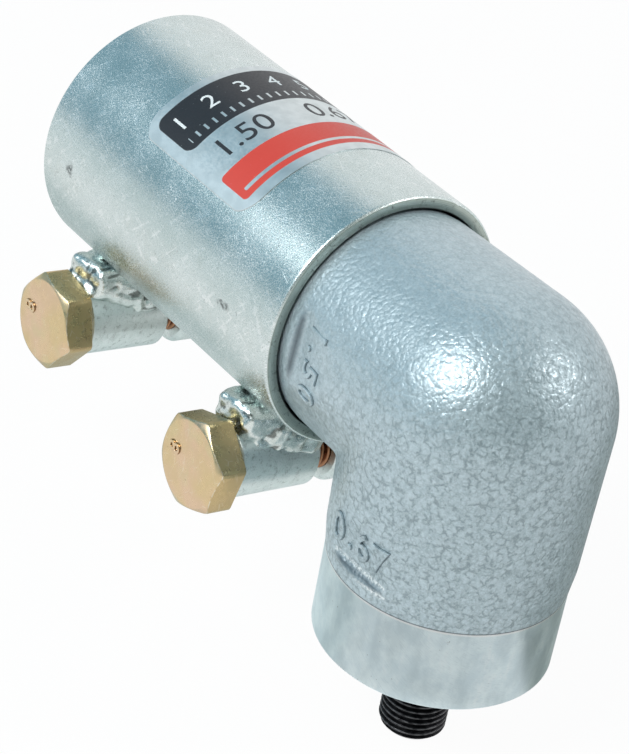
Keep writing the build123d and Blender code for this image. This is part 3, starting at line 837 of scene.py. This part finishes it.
# Painted shade and painted highlights, kept on the vertices for the paint to read
pool_layer = casting.verts.layers.float.new("pool")
glint_layer = casting.verts.layers.float.new("worn")
casting_verts = casting.verts[:]
for i in np.flatnonzero(on_skin):
    casting_verts[i].co = elbow + Vector(offsets[i])
    casting_verts[i][pool_layer] = pool[i]
    casting_verts[i][glint_layer] = worn[i]
smoothed(casting, [casting_verts[i] for i in np.flatnonzero(in_corner)], corner_smooths)
smoothed(casting, [casting_verts[i] for i in np.flatnonzero(on_skin)], casting_smooths)
for axis in (input_axis, output_axis):
    cut(casting, elbow + axis * collar_start, axis)
head_casting = piece(
    "head_casting", mesh_of(casting, "head_casting"), looks["hammer_painted_casting"], "head",
    sharp=casting_sharp,
)
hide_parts("angle_housing")
for name, axis in (("input_collar", input_axis), ("output_collar", output_axis)):
    collar = solid_of("angle_housing")
    cut(collar, elbow + axis * collar_start, -axis)
    made = piece(name, mesh_of(collar, name), bare_aluminium, "head")
    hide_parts("angle_housing")


# Screw threads
def thread_mesh(radius, pitch, start, end, chamfer):
    """A closed right-hand threaded rod along local Z, with its crests and roots as attributes."""
    depth = thread_depth_share * pitch
    rows = ceil((end - start) / pitch * thread_rows)
    heights = np.linspace(start, end, rows + 1)[:, None]
    turns = np.arange(thread_segments)[None, :] / thread_segments
    share = np.abs(((heights / pitch - turns) % 1) * 2 - 1)
    sink = np.clip((share - thread_crest_share) / thread_flank_share, 0, 1)
    sink = sink * sink * (3 - 2 * sink)
    fade = np.clip((heights - start) / thread_lead, 0, 1)
    limit = radius - chamfer + np.clip(end - heights, 0, chamfer)
    r = np.minimum(radius - depth * sink * fade, limit)
    rings = np.stack((r * np.cos(2 * pi * turns), r * np.sin(2 * pi * turns), heights + 0 * r), -1)
    mesh = ring_mesh(rings, "thread")
    for name, values in (("crest", 1 - sink), ("root", sink), ("threaded", 1 + 0 * sink)):
        layer = mesh.attributes.new(name, "FLOAT", "POINT")
        layer.data.foreach_set("value", (values * fade).ravel().astype(np.float32))
    return mesh


# Output spindle with its threaded stub
spindle = solid_of("output_spindle")
spindle_end = elbow.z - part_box("output_spindle")[0].z
cut(spindle, elbow + output_axis * (thread_start + thread_overlap), output_axis)
stub = thread_mesh(thread_r, stub_pitch, thread_start, spindle_end, stub_chamfer)
stub.transform(Matrix.Translation(elbow) @ facing(output_axis))
made = piece(
    "threaded_output_spindle", joined(mesh_of(spindle, "spindle"), stub), looks["black_oxide_steel"],
    "output_shaft",
)
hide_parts("output_spindle")


# Numerals
def numerals(text, size, thickness, bevel, grow=0.0, spacing=1.0):
    """Plain numerals as a mesh in local XY, centred and sliced so that they bend."""
    curve = bpy.data.curves.new("numerals", "FONT")
    curve.body = text
    curve.size = size
    curve.align_x = "CENTER"
    curve.align_y = "CENTER"
    curve.extrude = thickness
    curve.bevel_depth = bevel
    curve.bevel_resolution = 2
    curve.offset = grow
    curve.space_character = spacing
    work = bmesh.new()
    work.from_mesh(evaluated(placed("holder", curve)))
    bmesh.ops.remove_doubles(work, verts=work.verts, dist=same_point)
    reach = max(abs(vert.co.x) for vert in work.verts)
    slices = ceil(reach / numeral_slice)
    for k in range(-slices, slices + 1):
        geometry = work.verts[:] + work.edges[:] + work.faces[:]
        place = Vector((reach * k / slices, 0, 0))
        bmesh.ops.bisect_plane(
            work, geom=geometry, dist=cut_tolerance, plane_co=place, plane_no=Vector((1, 0, 0))
        )
    return mesh_of(work, "numerals")


def skin_of(mesh):
    return BVHTree.FromPolygons([v.co for v in mesh.vertices], [p.vertices for p in mesh.polygons])


def pressed_on(mesh, skin, middle, right, up):
    """Lay a flat mesh on a skin, seen along the way out of the skin at its middle."""
    out = right.cross(up).normalized()
    for vert in mesh.vertices:
        over = middle + right * vert.co.x + up * vert.co.y
        hit = skin.ray_cast(over + out * press_reach, -out)[0]
        vert.co = hit + out * vert.co.z
    return mesh


def marked(mesh, **values):
    """The mesh with attributes that its material reads."""
    for name, value in values.items():
        layer = mesh.attributes.new(name, "FLOAT", "POINT")
        layer.data.foreach_set("value", np.full(len(mesh.vertices), value, np.float32))
    return mesh


casting_skin = skin_of(head_casting.data)
for name, text, axis, right, height, aside, size, spacing in cast_marks:
    middle = elbow + axis * height + right * aside + cast_out
    mark = numerals(text, size, cast_height, cast_bevel, spacing=spacing)
    # The numbers' wider foot carries painted shade round their base
    foot = numerals(text, size, cast_foot_height, 0, grow=cast_foot_grow, spacing=spacing)
    foot = marked(foot, pool=1.0)
    mark, foot = (pressed_on(mesh, casting_skin, middle, right, -axis) for mesh in (mark, foot))
    piece(name, joined(mark, foot), looks["hammer_painted_casting"], "head")


# Clamp bolts: hexagon heads with a round chamfer and a plain stamped number, and threaded shanks
def bolt_head_mesh(corner_r, seat, top, turn):
    """A hexagon head along local Z, with slightly rounded edges, and its flats (for painted shade) and brim as
    attributes.
    """
    turns = np.arange(head_segments) * 2 * pi / head_segments
    apothem = corner_r * cos(pi / 6)
    face_r = head_face_share * apothem
    beside = (turns - turn) % (pi / 3)
    side = apothem / np.cos(beside - pi / 6)
    side = side - head_corner_round * bell(np.minimum(beside, pi / 3 - beside), 0, head_corner_angle)
    slope = tan(head_chamfer)
    brim = top - (side - face_r) * slope
    rings = [
        (side - head_seat_edge, seat + 0 * side),
        (side, seat + head_seat_edge + 0 * side),
        (side, brim - head_edge),
        (side - 0.35 * head_edge, brim - 0.1 * head_edge),
        (side - head_edge, brim + head_edge * slope),
        (face_r + head_edge + 0 * side, top - head_edge * slope + 0 * side),
        (face_r + 0 * side, top - 0.25 * head_edge * slope + 0 * side),
        (face_r - head_edge + 0 * side, top + 0 * side),
    ]
    points = np.array([np.stack((r * np.cos(turns), r * np.sin(turns), z), -1) for r, z in rings])
    head = ring_mesh(points, "bolt_head")
    for name, first, last in (("flank_shade", 0, 3), ("brim", 3, 3)):
        values = np.zeros(len(head.vertices), np.float32)
        values[first * head_segments : (last + 1) * head_segments] = 1.0
        head.attributes.new(name, "FLOAT", "POINT").data.foreach_set("value", values)
    return head


for place in ("rear", "front"):
    centre = Vector(joints[f"{place}_bolt_turn"]["pos_m"])
    to_bolt = Matrix.Translation(centre) @ facing(bolt_out)
    local = [to_bolt.inverted() @ vert.co for vert in nodes[f"{place}_clamp_bolt"].data.vertices]
    widest = max(local, key=lambda point: point.xy.length)
    seat = min(point.z for point in local if point.xy.length > head_over_shank * bolt_r)
    top = max(point.z for point in local)
    tip = min(point.z for point in local)
    face = top - stamp_space
    head = bolt_head_mesh(widest.xy.length, seat, face, atan2(widest.y, widest.x))
    head.transform(to_bolt)
    shank = thread_mesh(bolt_r, bolt_pitch, -seat - thread_overlap, -tip, bolt_chamfer)
    shank.transform(Matrix.Translation(centre) @ facing(-bolt_out))
    made = piece(
        f"threaded_{place}_bolt", joined(head, shank), looks["yellow_zinc"],
        f"{place}_bolt", sharp=head_sharp,
    )
    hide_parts(f"{place}_clamp_bolt")
    number = numerals("8", stamp_size, stamp_height, stamp_bevel)
    # The stamp's wider foot is painted in the dark thread-root rust tones, as painted shade round the number
    foot = numerals("8", stamp_size, stamp_foot_height, 0, grow=stamp_foot_grow)
    stamp = joined(number, marked(foot, threaded=0.8, root=0.7))
    stamp_turn = Matrix((Vector((0, 0, -1)), Vector((-1, 0, 0)), bolt_out)).transposed().to_4x4()
    stamp.transform(Matrix.Translation(centre + bolt_out * face + stamp_place) @ stamp_turn)
    piece(f"{place}_bolt_number", stamp, looks["yellow_zinc"], f"{place}_bolt")

# Weld beads: fillets of overlapping ripples between each lug and the sleeve, with drops on them
chance = random.Random(weld_seed)
ball = bmesh.new()
bmesh.ops.create_icosphere(ball, subdivisions=3, radius=1.0)
ball_points = [vert.co.copy() for vert in ball.verts]
ball_faces = np.array([[vert.index for vert in face.verts] for face in ball.faces])
ball.free()
boxy_points = [
    point / sum(abs(c) ** ripple_power for c in point) ** (1 / ripple_power) for point in ball_points
]
ripple_points = [Vector((p.x * (1 - ripple_flare * p.z), p.y, p.z)) for p in boxy_points]
lug_top = bolt_drop - lug_r
lumps = []
for place in ("rear", "front"):
    x = joints[f"{place}_bolt_turn"]["pos_m"][0]
    for side in (-1, 1):
        to_row = Matrix((Vector((1, 0, 0)), bolt_out * side, clamp_down)).transposed()
        for along in np.arange(weld_inner, weld_outer, weld_step):
            skin_depth = max(sqrt(sleeve_r**2 - along**2) - weld_sink, lug_top - weld_rise)
            foot = lug_top + np.interp(along, weld_along, weld_foot)
            half_width = np.interp(along, weld_along, weld_half_width) * chance.uniform(*ripple_widths)
            size = Vector((half_width, ripple_half, (foot - skin_depth) / 2 + weld_overlap))
            lean = Matrix.Rotation(chance.uniform(*ripple_leans), 3, "X")
            lean = lean @ Matrix.Rotation(chance.uniform(*ripple_twists), 3, "Z")
            middle = Vector((x, 0, 0)) + to_row @ Vector((0, along, (skin_depth + foot) / 2))
            lumps.append([middle + to_row @ lean @ (point * size) for point in ripple_points])
        for _ in range(weld_drops):
            along = chance.uniform(*drop_alongs) * weld_outer
            depth = lug_top + chance.uniform(*drop_depths) * np.interp(along, weld_along, weld_foot)
            aside = chance.choice((-1, 1)) * chance.uniform(*drop_asides)
            aside *= np.interp(along, weld_along, weld_half_width)
            middle = Vector((x + aside, 0, 0)) + to_row @ Vector((0, along, depth))
            drop_r = chance.uniform(*drop_radii) * MM
            lumps.append([middle + point * drop_r for point in ball_points])
lump_mesh = bpy.data.meshes.new("lumps")
lump_faces = np.concatenate([ball_faces + k * len(ball_points) for k in range(len(lumps))])
lump_mesh.from_pydata([point for lump in lumps for point in lump], [], lump_faces.tolist())
welds = bmesh.new()
welds.from_mesh(remeshed(lump_mesh, weld_voxel))
smoothed(welds, welds.verts[:], weld_smooths)
welds.normal_update()
# Each vertex is pushed out or in by noise, and painted shade darkens it where it sinks
hollow_shade_layer = welds.verts.layers.float.new("hollow_shade")
for vert in welds.verts:
    at = vert.co / MM
    flow = noise.noise(at * flow_scale)
    fine = noise.noise(at * fine_scale)
    vert[hollow_shade_layer] = min(max((-hollow_shade_flow * flow - fine - hollow_shade_start) * hollow_shade_gain, 0), hollow_shade_most)
    vert.co += vert.normal * (flow_height * flow + fine_height * fine)
weld_mesh = mesh_of(welds, "lumpy_welds")
made = piece("lumpy_welds", weld_mesh, looks["weld_metal"], "sleeve", sharp=pi)
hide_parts("weld_beads")

# Label print: plain white numbers on the black panel and black ratios on the foil
label_skin = skin_of(nodes["foil_label"].data)
label_length = label_high.x - label_low.x
prints = [
    (f"label_number_{k}", str(k), degrees, number_share, number_size, white_ink)
    for k, degrees in enumerate(number_turns, 1)
]
prints += [(name, text, degrees, ratio_share, ratio_size, black_ink) for name, text, degrees in ratios]
for name, text, degrees, share, size, ink in prints:
    turn = radians(degrees)
    outward = Vector((0, sin(turn), cos(turn)))
    middle = Vector((label_low.x + share * label_length, 0, 0)) + outward * sleeve_r
    up = Vector((-1, 0, 0))
    flat = numerals(text, size, print_height, 0)
    digit = pressed_on(flat, label_skin, middle, up.cross(outward), up)
    piece(name, digit, ink, "sleeve")


# Stage: pale floor that turns up behind and over, white to the camera and in reflections
def backdrop_material(name, colour=(1, 1, 1)):
    material = bpy.data.materials.new(name)
    material.use_nodes = True
    tree = material.node_tree
    tree.nodes.clear()
    output = tree.nodes.new("ShaderNodeOutputMaterial")
    diffuse = tree.nodes.new("ShaderNodeBsdfDiffuse")
    diffuse.inputs["Color"].default_value = (*floor_paint, 1)
    glow = tree.nodes.new("ShaderNodeEmission")
    glow.inputs["Color"].default_value = (*colour, 1)
    glow.inputs["Strength"].default_value = 1.0
    path = tree.nodes.new("ShaderNodeLightPath")
    seen = path.outputs["Is Camera Ray"]
    for ray in ("Is Glossy Ray", "Is Transmission Ray"):
        either = tree.nodes.new("ShaderNodeMath")
        either.operation = "MAXIMUM"
        tree.links.new(seen, either.inputs[0])
        tree.links.new(path.outputs[ray], either.inputs[1])
        seen = either.outputs[0]
    share = tree.nodes.new("ShaderNodeMath")
    share.operation = "MULTIPLY"
    share.inputs[1].default_value = backdrop_white
    tree.links.new(seen, share.inputs[0])
    blend = tree.nodes.new("ShaderNodeMixShader")
    tree.links.new(share.outputs[0], blend.inputs[0])
    tree.links.new(diffuse.outputs[0], blend.inputs[1])
    tree.links.new(glow.outputs[0], blend.inputs[2])
    tree.links.new(blend.outputs[0], output.inputs[0])
    return material


floor_z = cad_box[0][2] - floor_gap
bend_turns = [pi / 2 * k / wall_steps for k in range(wall_steps + 1)]
bend = [(sin(turn), 1 - cos(turn)) for turn in bend_turns]
ceiling_z = floor_z + wall_height
profile = [(-floor_size / 2, floor_z)]
profile += [(wall_distance - wall_round + wall_round * s, floor_z + wall_round * c) for s, c in bend]
profile += [(wall_distance - wall_round * c, ceiling_z - wall_round * (1 - s)) for s, c in bend]
profile.append((ceiling_reach, ceiling_z))
points = [(x, y, z) for y, z in profile for x in (-floor_size / 2, floor_size / 2)]
faces = [(2 * k, 2 * k + 1, 2 * k + 3, 2 * k + 2) for k in range(len(profile) - 1)]
backdrop_mesh = bpy.data.meshes.new("backdrop")
backdrop_mesh.from_pydata(points, [], faces)
backdrop_mesh.materials.append(backdrop_material("backdrop"))
backdrop_mesh.shade_smooth()
backdrop = placed("backdrop", backdrop_mesh)

# Shaded parts of the floor round the part, seen only in reflections
for name, colour, xs, ys in shades:
    corners = ((xs[0], ys[0]), (xs[1], ys[0]), (xs[1], ys[1]), (xs[0], ys[1]))
    shade_mesh = bpy.data.meshes.new(name)
    height = floor_z + shade_gap
    shade_mesh.from_pydata([(elbow.x + x * MM, y * MM, height) for x, y in corners], [], [(0, 1, 2, 3)])
    shade_mesh.materials.append(backdrop_material(name, colour))
    shade = placed(name, shade_mesh)
    shade.visible_camera = False
    shade.visible_shadow = False
    shade.visible_diffuse = False

# Light: the softboxes, and a grey room that is bluer on the left
for name, direction, distance, (width, height), power, aside in softboxes:
    light = bpy.data.lights.new(name, "AREA")
    light.shape = "RECTANGLE"
    light.size = width
    light.size_y = height
    light.energy = power
    way = Vector(direction).normalized()
    middle = Matrix.Translation(elbow + way * distance)
    turn = (-way).to_track_quat("-Z", "Y").to_matrix().to_4x4()
    softbox = placed(name, light)
    softbox.matrix_world = middle @ turn @ Matrix.Translation((aside, 0, 0))
world = bpy.data.worlds.new("room")
world.use_nodes = True
room = world.node_tree
way = room.nodes.new("ShaderNodeTexCoord")
split = room.nodes.new("ShaderNodeSeparateXYZ")
room.links.new(way.outputs["Generated"], split.inputs[0])
share = room.nodes.new("ShaderNodeMapRange")
share.interpolation_type = "SMOOTHSTEP"
share.inputs["From Min"].default_value = room_span[0]
share.inputs["From Max"].default_value = room_span[1]
room.links.new(split.outputs["X"], share.inputs["Value"])
blend = room.nodes.new("ShaderNodeMix")
blend.data_type = "RGBA"
blend.inputs[6].default_value = (*room_left, 1)
blend.inputs[7].default_value = (*room_right, 1)
room.links.new(share.outputs[0], blend.inputs["Factor"])
room.links.new(blend.outputs[2], room.nodes["Background"].inputs["Color"])
bpy.context.scene.world = world
